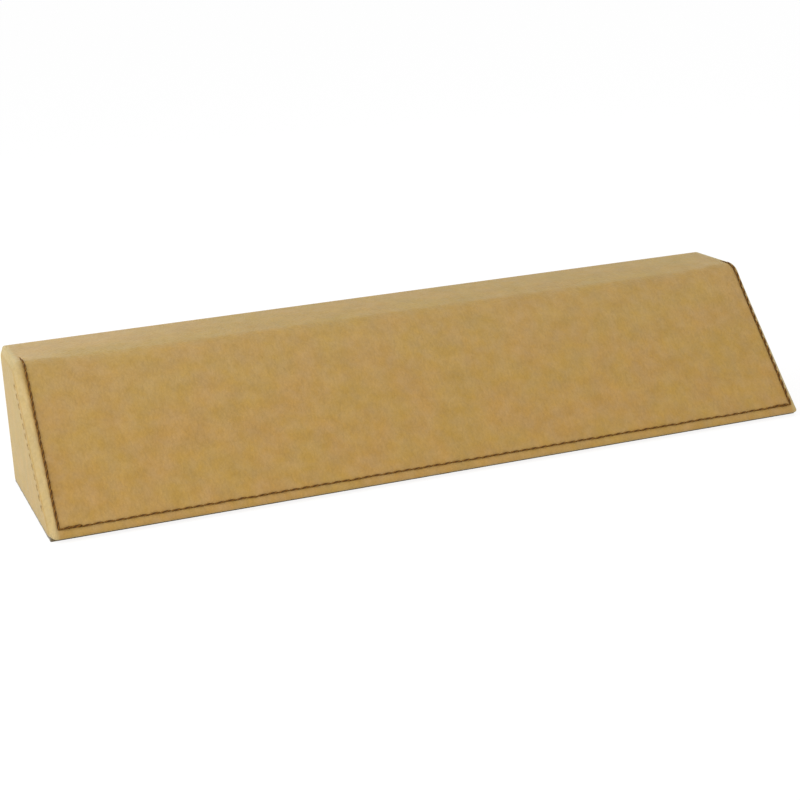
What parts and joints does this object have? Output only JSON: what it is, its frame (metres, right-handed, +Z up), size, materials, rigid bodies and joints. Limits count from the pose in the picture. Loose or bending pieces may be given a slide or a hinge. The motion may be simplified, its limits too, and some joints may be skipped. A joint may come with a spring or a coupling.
{
  "type": "desk name plate",
  "caption": "Wedge-shaped desk name plate in tan leatherette with a sloping blank front, a rounded top edge, dark stitched borders and a felt base.",
  "frame": {"origin": "middle of the footprint, on the surface that the plate stands on", "axes": "+X along the plate, to the right of a person facing it; -Y towards that person, out of the sloping front; +Z up"},
  "size_m": [0.2676, 0.0699, 0.048],
  "materials": {
    "fibreboard": "raw fibreboard",
    "card": "raw grey card",
    "leatherette": "soft matte, fine grain",
    "felt": "short pressed felt",
    "seam_thread": "twisted polyester, low sheen",
    "end_thread": "twisted polyester, low sheen"
  },
  "bodies": {
    "root": {"base_board": "fibreboard", "front_board": "fibreboard", "top_board": "fibreboard", "back_board": "fibreboard", "left_end_board": "fibreboard", "right_end_board": "fibreboard", "left_end_card": "card", "right_end_card": "card", "base_card": "card", "wrap_cover": "leatherette", "left_end_cover": "leatherette", "right_end_cover": "leatherette", "felt_base": "felt", "left_seam": "seam_thread", "bottom_seam": "seam_thread", "right_seam": "seam_thread", "left_end_seam": "end_thread", "right_end_seam": "end_thread"}
  },
  "joints": []
}
